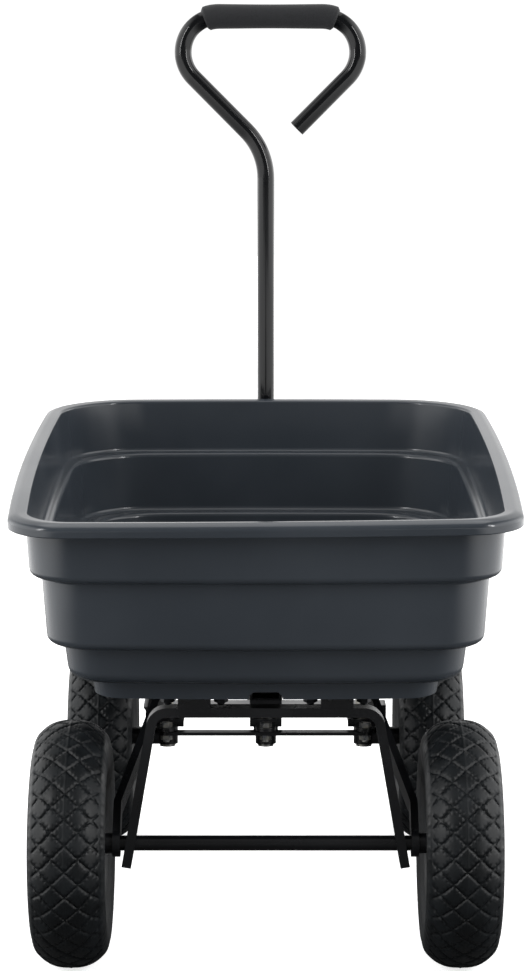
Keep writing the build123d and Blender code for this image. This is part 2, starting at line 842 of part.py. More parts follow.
def handle_tube():
    """The bent pull handle, from its foot in the drawbar to the open end of its loop."""
    left = -loop_rise
    right = loop_shift + loop_half + loop_bend * 2**0.5
    foot = pivot_height - handle_tail
    end = right - loop_end_drop
    with BuildPart() as tube:
        with BuildLine(upright(0)) as path:
            FilletPolyline(
                (0, foot),
                (0, bend_height),
                (left, loop_height),
                (right, loop_height),
                (end, loop_end_height),
                radius=[pole_bend, loop_bend, loop_bend],
            )
        with BuildSketch(Plane(origin=(0, pivot_y, foot))):
            Circle(handle_dia / 2)
            Circle(handle_dia / 2 - handle_wall, mode=Mode.SUBTRACT)
        sweep()
        hole = disc(across(-handle_dia, pivot_y, pivot_height), pivot_dia + 2 * running_gap, 2 * handle_dia)
        add(hole, mode=Mode.SUBTRACT)
    return tube.part


def handle_grip():
    """The foam sleeve on the top of the loop, reaching into both bends."""
    left = loop_bend * (1 + 2**0.5) - loop_rise
    right = loop_shift + loop_half - loop_bend
    middle = loop_height - loop_bend
    sweep_left = grip_angle(left - (loop_shift - grip_half))
    sweep_right = grip_angle(loop_shift + grip_half - right)
    with BuildPart() as grip:
        with BuildLine(upright(0)) as path:
            CenterArc((left, middle), loop_bend, 90 + sweep_left, -sweep_left)
            Line((left, loop_height), (right, loop_height))
            CenterArc((right, middle), loop_bend, 90, -sweep_right)
        start = path.wires()[0]
        with BuildSketch(Plane(origin=start @ 0, z_dir=start % 0)):
            Circle(grip_dia / 2)
            Circle(handle_dia / 2 + seat_gap, mode=Mode.SUBTRACT)
        sweep()
    return grip.part


def grip_angle(reach):
    """How far round a loop bend a point lies that is the given distance along the grip."""
    return degrees(asin(reach / loop_bend))


# Latch and lever
def under_deck(reach, drop):
    """The height of a point below the tub floor, at a distance ahead of the rear axle."""
    return deck_height + reach * tan(slope) - drop


def lever_centre():
    """Y and Z of the line the release lever turns about."""
    reach = latch_reach + lever_ahead
    return rear_y + reach, under_deck(reach, lever_drop)


def striker_centre():
    """Y and Z of the bar that the release hook stands against."""
    return latch_y, under_deck(latch_reach, striker_drop)


def release_lever():
    """A bent round rod with the hook plate welded to it."""
    y, z = lever_centre()
    bar_y, bar_z = striker_centre()
    nose = bar_y + lever_dia / 2 + hook_gap - y
    top = bar_z + lever_dia - z
    with BuildPart() as lever:
        with BuildLine(Plane(origin=(0, y, 0), x_dir=(1, 0, 0), z_dir=(0, -1, 0))) as path:
            FilletPolyline(
                (lever_start_x, z),
                (lever_end_x, z),
                (lever_tip_x, lever_tip_height + lever_grip_dia / 2),
                radius=1.5 * lever_dia,
            )
        with BuildSketch(across(lever_start_x, y, z)):
            Circle(lever_dia / 2)
        sweep()
        with BuildSketch(across(latch_x - hook_thickness / 2, y, z)):
            Circle(lever_dia)
            with BuildLine():
                Polyline(
                    (lever_dia, 0),
                    (nose + lever_dia, top),
                    (nose, top),
                    (nose, top - hook_lip),
                    (-lever_dia, 0),
                    close=True,
                )
            make_face()
        extrude(amount=hook_thickness)
    return lever.part


def lever_grip():
    """The dipped plastic sleeve with a round end on the lever's tip."""
    y, z = lever_centre()
    run = Vector(lever_tip_x - lever_end_x, 0, lever_tip_height + lever_grip_dia / 2 - z).normalized()
    tip = Vector(lever_tip_x, y, lever_tip_height + lever_grip_dia / 2)
    start = Plane(origin=tip - run * lever_grip_length, x_dir=(0, 1, 0), z_dir=run)
    with BuildPart() as grip:
        add(disc(start, lever_grip_dia, lever_grip_length))
        with Locations(tip):
            Sphere(lever_grip_dia / 2)
        bore = disc(start.offset(-through), lever_dia + 2 * seat_gap, lever_grip_length + through + seat_gap)
        add(bore, mode=Mode.SUBTRACT)
    return grip.part


def latch_bracket():
    """The plate under the spine whose two ears carry the lever."""
    y, z = lever_centre()
    half = latch_bracket_half
    floor = z - lever_dia - 2 * bracket_plate
    depth = (y - half, y + half)
    base_x = (lever_end_x + bracket_end, spine_width / 2)
    under_spine = deck(z=spine_bottom)
    with BuildPart() as bracket:
        add(slab(Plane.XY, base_x, depth, (floor, floor + bracket_plate)))
        for front in (y - half, y + half - bracket_plate):
            walls = (front, front + bracket_plate)
            ears = (-spine_width / 2, spine_width / 2)
            add(slab(Plane.XY, ears, walls, (floor, deck_height + spine_height)))
        split(bisect_by=under_spine, keep=Keep.BOTTOM)
        for ear_x in (base_x[0], -spine_width / 2 - spring_room - bracket_plate):
            add(slab(Plane.XY, (ear_x, ear_x + bracket_plate), depth, (floor, z + lever_dia)))
        bore = disc(across(lever_end_x, y, z), lever_dia + 4 * running_gap, -lever_end_x)
        add(bore, mode=Mode.SUBTRACT)
    return bracket.part


def latch_spring():
    """The torsion spring wound round the lever, as its coil."""
    y, z = lever_centre()
    start = -spine_width / 2 - spring_room + spring_wire
    radius = lever_dia / 2 + spring_wire / 2 + spring_gap
    with BuildPart() as coil:
        with BuildLine() as path:
            Helix(spring_pitch, spring_length, radius, center=(start, y, z), direction=(1, 0, 0))
        with BuildSketch(Plane(origin=path.line @ 0, z_dir=path.line % 0)):
            Circle(spring_wire / 2)
        sweep(is_frenet=True)
    return coil.part


def striker():
    """The plate under the tub with the round bar that the hook meets."""
    y, z = striker_centre()
    place = deck(latch_reach / cos(slope))
    plate_x = (latch_x - striker_half, latch_x + striker_half)
    ear_z = (z - lever_dia, z + striker_drop - saddle_plate / 2)
    with BuildPart() as piece:
        add(slab(place, plate_x, (-striker_half_width, striker_half_width), (-saddle_plate, 0)))
        for side in (-1, 1):
            ear_x = latch_x + side * striker_ear_x
            span = (ear_x - saddle_plate / 2, ear_x + saddle_plate / 2)
            add(slab(Plane.XY, span, (y - lever_dia, y + lever_dia), ear_z))
        add(disc(across(latch_x - striker_ear_x, y, z), lever_dia, 2 * striker_ear_x))
        for hole in striker_bolt_places():
            bolt_hole = disc(hole.offset(-striker_drop), tub_bolt_dia + 2 * seat_gap, striker_drop)
            add(bolt_hole, mode=Mode.SUBTRACT)
    return piece.part


# Tub fastenings
def saddle_bolt_places():
    """Planes on the tub floor where the hinge saddles are bolted."""
    offset = (saddle_width + saddle_wing) / 2
    return [deck(0, tub_floor, side * saddle_x + shift) for side in (-1, 1) for shift in (-offset, offset)]


def striker_bolt_places():
    """Planes on the tub floor where the striker is bolted."""
    reach = latch_reach / cos(slope)
    return [deck(reach, tub_floor, latch_x + side * striker_bolt_x) for side in (-1, 1)]


def tub_bolt_places():
    """All the bolts through the tub floor."""
    return saddle_bolt_places() + striker_bolt_places()


def hinge_saddles():
    """Two plates bolted under the tub, each with a block that stands on the hinge hoop's top bar."""
    thickness, width = hinge_bar
    low = hinge_top_height + thickness / 2 + seat_gap
    half = saddle_width / 2
    wing = half + saddle_wing
    top = deck_height - saddle_plate / 2
    straps = []
    for side in (-1, 1):
        x = side * saddle_x
        with BuildPart() as strap:
            add(slab(deck(x=x), (-wing, wing), (-width / 2, width / 2), (-saddle_plate, 0)))
            add(slab(Plane.XY, (x - half, x + half), (rear_y - width / 2, rear_y + width / 2), (low, top)))
            split(bisect_by=deck(), keep=Keep.BOTTOM)
            for hole in saddle_bolt_places():
                depth = tub_floor + saddle_plate + through
                add(disc(hole.offset(-depth), tub_bolt_dia + 2 * seat_gap, depth), mode=Mode.SUBTRACT)
        straps.append(strap.part)
    return gather(straps)


def tub_washers():
    """Wide washers that spread each bolt's load on the tub floor."""
    bore = tub_bolt_dia + 2 * seat_gap
    return gather([disc(place, 3 * tub_bolt_dia, washer_thickness, bore) for place in tub_bolt_places()])


def tub_bolts():
    """The bolts through the tub floor, heads inside, with the nuts under the saddles and the striker."""
    drop = tub_floor + saddle_plate + small_nut
    length = washer_thickness + drop + bolt_past_nut
    pieces = []
    for place in tub_bolt_places():
        head = place.offset(washer_thickness)
        pieces.append(hex_bolt(head, tub_bolt_dia, length, small_hex, small_head))
        pieces.append(hex_nut(place.offset(-drop), tub_bolt_dia, small_hex, small_nut))
    return gather(pieces)


# Write every piece
for label, centre, side in (
    ("rear_left", (-half_track, rear_y, axle_height), -1),
    ("rear_right", (half_track, rear_y, axle_height), 1),
    ("front_left", (-half_track, front_y, axle_height), -1),
    ("front_right", (half_track, front_y, axle_height), 1),
):
    write_wheel(centre, side, label)

for side, label in ((-1, "left"), (1, "right")):
    save(knuckle(side), f"knuckle_{label}")
    save(gather(washers(front_y, side)), f"stub_washers_{label}")
    save(cotter_pin(front_y, side), f"stub_cotter_pin_{label}")

for make in (
    tub_shell, hinge_hoop, hinge_saddles, striker, tub_washers, tub_bolts,
    rear_axle, axle_sleeves, rear_hoop, spine, front_pedestal, front_beam, beam_caps,
    kingpins, thrust_washers, rest_bar, rest_pads, latch_bracket, latch_spring,
    release_lever, lever_grip, steering_head, drawbar, pivot_bolt,
    tie_bar, link_bolts, handle_tube, handle_grip,
):
    save(make(), make.__name__)

save(gather(washers(rear_y, -1) + washers(rear_y, 1)), "axle_washers")
save(gather([cotter_pin(rear_y, -1), cotter_pin(rear_y, 1)]), "axle_cotter_pins")
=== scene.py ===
from math import cos, hypot, pi, radians, sin, sqrt, tan

import bmesh
import bpy
from mathutils import Matrix, Vector


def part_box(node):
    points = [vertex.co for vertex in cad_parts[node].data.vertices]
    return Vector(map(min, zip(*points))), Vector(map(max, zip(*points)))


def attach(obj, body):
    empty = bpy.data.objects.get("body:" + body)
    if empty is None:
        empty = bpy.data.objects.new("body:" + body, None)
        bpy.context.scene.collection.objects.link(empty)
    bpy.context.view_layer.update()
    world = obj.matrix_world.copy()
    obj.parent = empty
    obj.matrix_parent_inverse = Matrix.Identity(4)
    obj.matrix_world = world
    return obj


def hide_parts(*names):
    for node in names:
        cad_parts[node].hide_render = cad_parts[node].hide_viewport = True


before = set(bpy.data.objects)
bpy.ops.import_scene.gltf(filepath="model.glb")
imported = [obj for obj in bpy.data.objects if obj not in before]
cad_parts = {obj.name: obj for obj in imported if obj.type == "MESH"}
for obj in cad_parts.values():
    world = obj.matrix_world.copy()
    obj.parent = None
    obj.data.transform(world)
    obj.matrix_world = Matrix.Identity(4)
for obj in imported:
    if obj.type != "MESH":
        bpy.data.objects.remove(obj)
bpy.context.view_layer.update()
mm = 0.001


# Colours and shader nodes
def hexColour(code):
    # sRGB hex to the linear values that the shaders take
    channels = [int(code[i:i + 2], 16) / 255 for i in (1, 3, 5)]
    return tuple(c / 12.92 if c <= 0.04045 else ((c + 0.055) / 1.055) ** 2.4 for c in channels) + (1.0,)


def addNode(tree, kind, settings=None, links=None):
    # one shader node, with its fixed settings and the sockets that feed it
    node = tree.nodes.new(kind)
    for name, value in (settings or {}).items():
        if isinstance(name, str) and hasattr(node, name):
            setattr(node, name, value)
        else:
            node.inputs[name].default_value = value
    for name, source in (links or {}).items():
        tree.links.new(source, node.inputs[name])
    return node


def startMaterial(name, shader):
    # an empty material with its Principled shader, and the object's own position in metres
    material = bpy.data.materials.new(name)
    material.use_nodes = True
    tree = material.node_tree
    tree.nodes.clear()
    principled = addNode(tree, "ShaderNodeBsdfPrincipled", shader)
    addNode(tree, "ShaderNodeOutputMaterial", links={"Surface": principled.outputs["BSDF"]})
    place = addNode(tree, "ShaderNodeTexCoord").outputs["Object"]
    return material, tree, principled, place


broadWave = 50  # mm; relief larger than this is a smooth wave with no finer detail in it


def grainMaterial(name, look):
    # a slow drift of colour and gloss under one or two layers of relief, which most of these finishes share
    material, tree, principled, place = startMaterial(name, look["shader"])
    drift = addNode(tree, "ShaderNodeTexNoise", {
        "Scale": 1 / (look["driftSize"] * mm), "Detail": 3.0,
    }, {"Vector": place})
    share = addNode(tree, "ShaderNodeMapRange", {
        "interpolation_type": "SMOOTHSTEP", "From Min": 0.25, "From Max": 0.75,
    }, {"Value": drift.outputs["Fac"]})
    colour = addNode(tree, "ShaderNodeMix", {
        "data_type": "RGBA", 6: hexColour(look["dark"]), 7: hexColour(look["light"]),
    }, {0: share.outputs["Result"]})
    tree.links.new(colour.outputs[2], principled.inputs["Base Color"])
    gloss = addNode(tree, "ShaderNodeMapRange", {
        "To Min": look["roughness"][0], "To Max": look["roughness"][1],
    }, {"Value": share.outputs["Result"]})
    tree.links.new(gloss.outputs["Result"], principled.inputs["Roughness"])
    for size, depth, strength in look["relief"]:
        height = addNode(tree, "ShaderNodeTexNoise", {
            "Scale": 1 / (size * mm), "Detail": 0.0 if size > broadWave else 2.0, "Roughness": 0.6,
        }, {"Vector": place})
        bump = addNode(tree, "ShaderNodeBump", {
            "Strength": strength, "Distance": depth * mm,
        }, {"Height": height.outputs["Fac"]})
        if principled.inputs["Normal"].is_linked:
            tree.links.new(principled.inputs["Normal"].links[0].from_socket, bump.inputs["Normal"])
        tree.links.new(bump.outputs["Normal"], principled.inputs["Normal"])
    return material


# relief is a list of bump layers: size in mm, depth in mm, strength
finishes = {
    # polypropylene, injection moulded: a satin slate skin that mirrors the light softly, a little wavy
    "mouldedPolypropylene": {
        "shader": {"IOR": 1.49}, "dark": "#30353b", "light": "#383d43", "driftSize": 160,
        "roughness": (0.15, 0.22), "relief": ((170, 2.0, 0.35), (1.6, 0.05, 0.1)),
    },
    # polypropylene, moulded small: the same plastic in black, for plugs
    "mouldedBlackPlastic": {
        "shader": {"IOR": 1.49}, "dark": "#141416", "light": "#1b1b1e", "driftSize": 20,
        "roughness": (0.35, 0.45), "relief": ((1.2, 0.05, 0.2),),
    },
    # steel, powder coated in satin black: a slight orange peel that breaks up the highlights
    "powderCoatedSteel": {
        "shader": {"IOR": 1.5}, "dark": "#0d0e10", "light": "#141518", "driftSize": 60,
        "roughness": (0.24, 0.34), "relief": ((1.6, 0.08, 0.25),),
    },
    # steel tube, stoved gloss enamel: a hard black gloss with long thin highlights
    "glossEnamelTube": {
        "shader": {"IOR": 1.52, "Specular IOR Level": 0.25, "Coat Weight": 0.15, "Coat Roughness": 0.04},
        "dark": "#08090b", "light": "#0d0e10", "driftSize": 70,
        "roughness": (0.09, 0.15), "relief": ((2.4, 0.03, 0.03),),
    },
    # steel rim, gloss powder coat: smooth and black, a little softer than enamel
    "enamelledRim": {
        "shader": {"IOR": 1.5, "Coat Weight": 0.3, "Coat Roughness": 0.1},
        "dark": "#131416", "light": "#1a1b1e", "driftSize": 40,
        "roughness": (0.2, 0.3), "relief": ((1.4, 0.06, 0.2),),
    },
    # natural rubber, moulded: a dull grey-black with dusty lighter patches
    "mouldedTyreRubber": {
        "shader": {"IOR": 1.5, "Specular IOR Level": 0.3},
        "dark": "#090c0e", "light": "#13171a", "driftSize": 24,
        "roughness": (0.38, 0.56), "relief": ((1.1, 0.12, 0.35),),
    },
    # butyl rubber, moulded: soft and matte
    "butylRubber": {
        "shader": {"IOR": 1.5}, "dark": "#111111", "light": "#1a1a1a", "driftSize": 20,
        "roughness": (0.6, 0.75), "relief": ((0.9, 0.06, 0.3),),
    },
    # PVC, hot dipped: thick, smooth and slightly wavy
    "dippedVinyl": {
        "shader": {"IOR": 1.53}, "dark": "#0d0d0e", "light": "#141416", "driftSize": 12,
        "roughness": (0.18, 0.26), "relief": ((6.0, 0.25, 0.3),),
    },
    # zinc plate on steel: bright, with a faint straw and blue cast and fine handling marks
    "zincPlatedSteel": {
        "shader": {"Metallic": 1.0}, "dark": "#9ea3aa", "light": "#c6c2b6", "driftSize": 9,
        "roughness": (0.22, 0.4), "relief": ((0.6, 0.04, 0.3),),
    },
    # black oxide on steel: a thin dark skin, oily and still metallic underneath
    "blackOxideSteel": {
        "shader": {"Metallic": 1.0}, "dark": "#1d1e20", "light": "#2c2d30", "driftSize": 9,
        "roughness": (0.3, 0.45), "relief": ((0.6, 0.04, 0.3),),
    },
    # ground bearing steel: brighter and cleaner than the zinc
    "groundSteel": {
        "shader": {"Metallic": 1.0}, "dark": "#8f9296", "light": "#a6a9ad", "driftSize": 14,
        "roughness": (0.18, 0.28), "relief": ((0.4, 0.03, 0.2),),
    },
}
materials = {name: grainMaterial(name, look) for name, look in finishes.items()}

# the dark and light here are painted shade: each cell is light in its middle and dark at its sunken rim
foamLook = {"dark": "#0f1012", "light": "#232427", "cellSize": 1.1, "cellDepth": 0.35}


def foamMaterial(look):
    # closed-cell foam, extruded: a matte skin of tiny cells, drawn about twice their real size to show, each
    # cell painted darker towards its sunken rim as painted shade
    shader = {"IOR": 1.4, "Roughness": 0.85, "Sheen Weight": 0.1}
    material, tree, principled, place = startMaterial("extrudedFoam", shader)
    cells = addNode(tree, "ShaderNodeTexVoronoi", {"Scale": 1 / (look["cellSize"] * mm)}, {"Vector": place})
    # painted shade: the colour darkens from each cell's middle towards its recessed rim, following the same
    # distance as the bump
    colour = addNode(tree, "ShaderNodeMix", {
        "data_type": "RGBA", 6: hexColour(look["light"]), 7: hexColour(look["dark"]),
    }, {0: cells.outputs["Distance"]})
    tree.links.new(colour.outputs[2], principled.inputs["Base Color"])
    bump = addNode(tree, "ShaderNodeBump", {
        "Strength": 0.5, "Distance": look["cellDepth"] * mm, "invert": True,
    }, {"Height": cells.outputs["Distance"]})
    tree.links.new(bump.outputs["Normal"], principled.inputs["Normal"])
    return material


materials["extrudedFoam"] = foamMaterial(foamLook)
print("materials made:", len(materials))


# Mesh helpers
def meshPiece(name, verts, faces, material, smoothAngle=40):
    # a mesh object in metres from points in millimetres, shaded smooth below an angle
    mesh = bpy.data.meshes.new(name)
    mesh.from_pydata([(x * mm, y * mm, z * mm) for x, y, z in verts], [], faces)
    bm = bmesh.new()
    bm.from_mesh(mesh)
    bmesh.ops.recalc_face_normals(bm, faces=bm.faces)
    bm.to_mesh(mesh)
    bm.free()
    piece = bpy.data.objects.new(name, mesh)
    bpy.context.scene.collection.objects.link(piece)
    mesh.materials.append(materials[material])
    mesh.shade_smooth()
    mesh.set_sharp_from_angle(angle=radians(smoothAngle))
    return piece


def loftRings(rings, closed=False):
    # quads between rings that all have the same number of points
    count = len(rings[0])
    verts = [point for ring in rings for point in ring]
    faces = []
    for r in range(len(rings) if closed else len(rings) - 1):
        a = r * count
        b = (r + 1) % len(rings) * count
        for i in range(count):
            j = (i + 1) % count
            faces.append((a + i, a + j, b + j, b + i))
    return verts, faces


def roundedProfile(points, stepAngle=12):
    # a chain of (x, y, radius) corners turned into points, with an arc at every corner that has a radius
    out = [Vector(points[0][:2])]
    for before, corner, after in zip(points, points[1:], points[2:]):
        p = Vector(corner[:2])
        inward = (Vector(before[:2]) - p).normalized()
        onward = (Vector(after[:2]) - p).normalized()
        radius = corner[2]
        turn = pi - inward.angle(onward)
        if radius == 0 or turn < 0.01:
            out.append(p)
            continue
        reach = radius * tan(turn / 2)
        centre = p + (inward + onward).normalized() * radius / cos(turn / 2)
        start = p + inward * reach - centre
        end = p + onward * reach - centre
        sweep = start.angle_signed(end)
        steps = max(2, round(abs(sweep) / radians(stepAngle)))
        for k in range(steps + 1):
            out.append(centre + Matrix.Rotation(-sweep * k / steps, 2) @ start)
    out.append(Vector(points[-1][:2]))
    return out


# Tub
tub = {
    "length": 852, "halfRear": 260.5, "halfMiddle": 278, "halfFront": 275, "middleAt": 500,
    "endBow": 8, "cornerRear": 55, "cornerFront": 100, "depth": 205, "tilt": 4.0, "deckHeight": 291,
    "floor": 4.0, "footInset": 87, "channelWidth": 36, "channelHeight": 8, "channelChamfer": 4,
    "rearOverhang": 130, "edgeSteps": 34, "cornerSteps": 12, "sideSteps": 46,
    "sag": 5, "sagDepth": 90, "sagLength": 260,
}
# inset from the rim, depth below it, corner radius: up the outside, over the rolled rim and down the inside
tubProfile = (
    (tub["footInset"], tub["depth"], 0), (84, 185, 3), (61, 185, 15), (56, 144, 3), (39, 144, 10),
    (34, 70, 3), (22, 70, 9), (18, 5.5, 2.5), (4.5, 6.5, 1.5), (4, 13, 0.8), (4, 15, 0.6), (0.4, 15, 1.4),
    (0.2, 4, 6), (9, 0, 9), (20.5, 1.2, 3.5), (25.5, 66, 5), (37.5, 66, 6), (42.5, 140, 6), (59.5, 140, 6),
    (64.5, 181, 9), (87.5, 181, 6), (90.5, 201, 0),
)
rearAxle = (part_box("rear_axle")[0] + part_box("rear_axle")[1]) / 2 / mm
rearY = rearAxle.y
tilt = radians(tub["tilt"])
rimRear = (tub["depth"] * sin(tilt) - tub["rearOverhang"]) / cos(tilt)


def sideCurve(along):
    # the rim's half width at a distance from its rear end, through the three stated widths
    span, mid = tub["length"], tub["middleAt"]
    rise = tub["halfMiddle"] - tub["halfRear"]
    total = tub["halfFront"] - tub["halfRear"]
    bend = (total - rise * span / mid) / (span * span - span * mid)
    slope = rise / mid - bend * mid
    return tub["halfRear"] + slope * along + bend * along * along


def onDeck(x, y, z):
    # from the tub's own tilted frame to the cart's
    return (x, rearY + y * cos(tilt) - z * sin(tilt), tub["deckHeight"] + y * sin(tilt) + z * cos(tilt))


def tubRing(inset, depth):
    # one level of the tub: a rounded rectangle, warped to the bowed sides and ends
    half = tub["halfMiddle"] - inset
    rear, front = inset, tub["length"] - inset
    rearRadius = tub["cornerRear"] - inset / 4
    frontRadius = tub["cornerFront"] - inset / 3
    corners = (
        (half - rearRadius, rear + rearRadius, rearRadius, -90),
        (half - frontRadius, front - frontRadius, frontRadius, 0),
        (frontRadius - half, front - frontRadius, frontRadius, 90),
        (rearRadius - half, rear + rearRadius, rearRadius, 180),
    )
    straights = (tub["sideSteps"], tub["edgeSteps"], tub["sideSteps"], tub["edgeSteps"])
    flat = []
    for index, (cx, cy, radius, start) in enumerate(corners):
        for k in range(tub["cornerSteps"]):
            turn = radians(start + 90 * k / (tub["cornerSteps"] - 1))
            flat.append((cx + radius * cos(turn), cy + radius * sin(turn)))
        nx, ny, nextRadius, nextStart = corners[(index + 1) % 4]
        goal = (nx + nextRadius * cos(radians(nextStart)), ny + nextRadius * sin(radians(nextStart)))
        x0, y0 = flat[-1]
        for k in range(1, straights[index]):
            share = k / straights[index]
            flat.append((x0 + (goal[0] - x0) * share, y0 + (goal[1] - y0) * share))
    ring = []
    for x, along in flat:
        share = along / tub["length"]
        bow = tub["endBow"] * (x / half) ** 2 * (1 - 2 * share)
        width = (sideCurve(along) - inset) / half
        nearRim = max(0, 1 - depth / tub["sagDepth"]) * max(0, 1 - along / tub["sagLength"]) ** 2
        sag = tub["sag"] * nearRim * (1 - x / half) / 2
        ring.append(onDeck(x * width, rimRear + along + bow, tub["depth"] - depth - sag))
    return ring


def boolCut(piece, cutter, operation):
    # joins or cuts one closed mesh with another and removes the other
    step = piece.modifiers.new(operation, "BOOLEAN")
    step.operation = operation
    step.solver = "EXACT"
    step.object = cutter
    applyModifiers(piece)
    bpy.data.objects.remove(cutter)


def applyModifiers(piece):
    # the piece's mesh as its modifiers leave it
    graph = bpy.context.evaluated_depsgraph_get()
    mesh = bpy.data.meshes.new_from_object(piece.evaluated_get(graph))
    piece.modifiers.clear()
    piece.data = mesh


def deckPrism(name, side, start, end):
    # a bar along the deck, the same on both sides: its outline is (how far out, height) points
    half = tub["channelWidth"] / 2
    outline = [(-half - out, z) for out, z in side] + [(half + out, z) for out, z in reversed(side)]
    rings = [[onDeck(x, y, z) for x, z in outline] for y in (start, end)]
    verts, faces = loftRings(rings)
    count = len(outline)
    faces += [tuple(range(count)), tuple(range(count, 2 * count))]
    return meshPiece(name, verts, faces, "mouldedPolypropylene")


def buildTub():
    rings = [tubRing(inset, depth) for inset, depth in roundedProfile(tubProfile)]
    verts, faces = loftRings(rings)
    count = len(rings[0])
    faces.append(tuple(range(count)))
    faces.append(tuple(range(len(verts) - count, len(verts))))
    piece = meshPiece("moulded_tub", verts, faces, "mouldedPolypropylene")
    start, end = rimRear + tub["footInset"], rimRear + tub["length"] - tub["footInset"]
    high, chamfer = tub["channelHeight"], tub["channelChamfer"]
    top = high + tub["floor"]
    rib = ((6, 2), (5, top - 3), (1, top))
    boolCut(piece, deckPrism("rib", rib, start, end), "UNION")
    channel = ((1, -5), (-1, high - chamfer), (-1 - chamfer, high))
    overshoot = 20  # the cutter runs out past both ends of the tub's foot
    boolCut(piece, deckPrism("channel", channel, start - overshoot, end + overshoot), "DIFFERENCE")
    piece.data.shade_smooth()
    piece.data.set_sharp_from_angle(angle=radians(35))
    even = piece.modifiers.new("evenShading", "WEIGHTED_NORMAL")
    even.keep_sharp = True
    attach(piece, "tub")
    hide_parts("tub_shell")


buildTub()
print("tub made")


# Tyres
tread = {
    "dia": 260, "width": 80, "beadDia": 101, "beadHalf": 25, "around": 30, "blockWidth": 25,
    "grooveWidth": 2.4, "grooveDepth": 1.9, "notchDepth": 0.8, "dome": 0.15, "halfTread": 34,
    "shoulderDrop": 11, "edgeDrop": 4,
    "turnSteps": 660, "treadSteps": 72, "wallSteps": 22, "seamHeight": 0.5, "ribHeight": 0.5, "ribPitch": 5,
    "ribFrom": 66, "ribTo": 106, "knurlFrom": 106, "knurlTo": 114, "knurlHeight": 0.5,
}
# the tyre's inside, as (across, radius): bead, wall, crown, wall and bead
tyreLining = ((-18, tread["beadDia"] / 2), (-30, 75), (0, 118), (30, 75), (18, tread["beadDia"] / 2))


def tyreSection():
    # the outer section as (axial, radial) with how far across the tread each point lies
    crown, half, bead = tread["dia"] / 2, tread["width"] / 2, tread["beadDia"] / 2
    edgeRadius = crown - tread["shoulderDrop"] - tread["edgeDrop"]
    wall = []
    for k in range(tread["wallSteps"] + 1):
        share = k / tread["wallSteps"]
        height = bead + (edgeRadius - bead) * share
        # the wall swells to its full width, then draws in by 4.5 mm over its last part
        bulge = tread["beadHalf"] + (half - tread["beadHalf"]) * sin(pi * min(1, share * 1.12) / 2) ** 0.8
        bulge -= 4.5 * (max(0, share - 0.72) / 0.28) ** 2
        if tread["ribFrom"] < height < tread["ribTo"]:
            bulge += tread["ribHeight"] * max(0, cos(2 * pi * (height - 78) / tread["ribPitch"])) ** 4
        wall.append((bulge, height, None))
    edge = wall[-1]
    arc = []
    for k in range(tread["treadSteps"] + 1):
        across = 1 - 2 * k / tread["treadSteps"]
        side = 1 if across > 0 else -1
        radial = crown - (crown - edge[1]) * abs(across) ** 2.6
        arc.append((edge[0] * side * abs(across) ** 0.96, radial, across * tread["halfTread"]))
    mirrored = [(-axial, radial, None) for axial, radial, _ in reversed(wall)]
    return wall[:-1] + arc + mirrored[1:]


def lineGap(value):
    # distance to the nearest whole number
    return abs(value - round(value))


def ease(low, high, value):
    # a smooth step from 0 at low to 1 at high
    share = min(1, max(0, (value - low) / (high - low)))
    return share * share * (3 - 2 * share)


def treadDrop(turn, across):
    # how deep the tread pattern lies below the crown at a point: crossed grooves between domed diamonds
    pitch = turn * tread["around"] / (2 * pi)
    slant = across / tread["blockWidth"]
    spacing = 1 / hypot(1 / tread["blockWidth"], tread["around"] / (pi * tread["dia"]))
    half = tread["grooveWidth"] / 2 / spacing
    first, second = lineGap(pitch + slant), lineGap(pitch - slant)
    nearest = min(first, second)
    groove = 1 - ease(half * 0.5, half * 1.25, nearest)
    notch = 0
    if nearest > half:
        # short notches along one pair of each block's edges
        ladder = lineGap((pitch + slant) * 4 + 0.5) if first > second else lineGap((pitch - slant) * 4 + 0.5)
        notch = (1 - ease(0.08, 0.16, ladder)) * (1 - ease(half * 2.6, half * 3.2, nearest))
    fade = 1 - ease(tread["halfTread"] - 3, tread["halfTread"] - 0.5, abs(across))
    seam = tread["seamHeight"] * (1 - ease(0.3, 0.9, abs(across)))
    dome = tread["dome"] * (1 - min(1, nearest / 0.45)) ** 2
    # the pattern fades out at the tread's edges, and a moulding seam runs round the middle between grooves
    return (tread["grooveDepth"] * groove + tread["notchDepth"] * notch + dome) * fade - seam * (1 - groove)


def buildTyre(name, centre, body):
    section = tyreSection()
    rings = []
    for step in range(tread["turnSteps"]):
        turn = 2 * pi * step / tread["turnSteps"]
        knurl = tread["knurlHeight"] * max(0, sin(turn * tread["around"] * 2))
        ring = []
        for axial, radial, across in section:
            if across is not None:
                radial -= treadDrop(turn, across)
            elif tread["knurlFrom"] < radial < tread["knurlTo"]:
                # a knurled band just below the tread's edge
                side = 1 if axial > 0 else -1
                axial += side * knurl * ease(tread["knurlFrom"], tread["knurlFrom"] + 2, radial)
            ring.append((centre.x + axial, centre.y + radial * cos(turn), centre.z + radial * sin(turn)))
        for axial, radial in tyreLining:
            ring.append((centre.x + axial, centre.y + radial * cos(turn), centre.z + radial * sin(turn)))
        rings.append(ring)
    verts, faces = loftRings(rings, closed=True)
    piece = meshPiece(f"tyre_with_tread_{name}", verts, faces, "mouldedTyreRubber", 50)
    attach(piece, body)
    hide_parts(f"tyre_{name}")


wheelNames = ("rear_left", "rear_right", "front_left", "front_right")
for wheel in wheelNames:
    low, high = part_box(f"tyre_{wheel}")
    buildTyre(wheel, (low + high) / 2 / mm, f"{wheel}_wheel")
print("tyres made")


# Swept round pieces
def sweepRings(path, radiusAt, steps):
    # circles square to a path in the XZ plane, with a radius for each point
    rings = []
    for index, point in enumerate(path):
        ahead = path[min(index + 1, len(path) - 1)] - path[max(index - 1, 0)]
        along = ahead.normalized()
        side = Vector((0, 1, 0))
        up = along.cross(side)
        radius = radiusAt(index)
        turns = [2 * pi * k / steps for k in range(steps)]
        rings.append([point + side * radius * cos(turn) + up * radius * sin(turn) for turn in turns])
    return rings


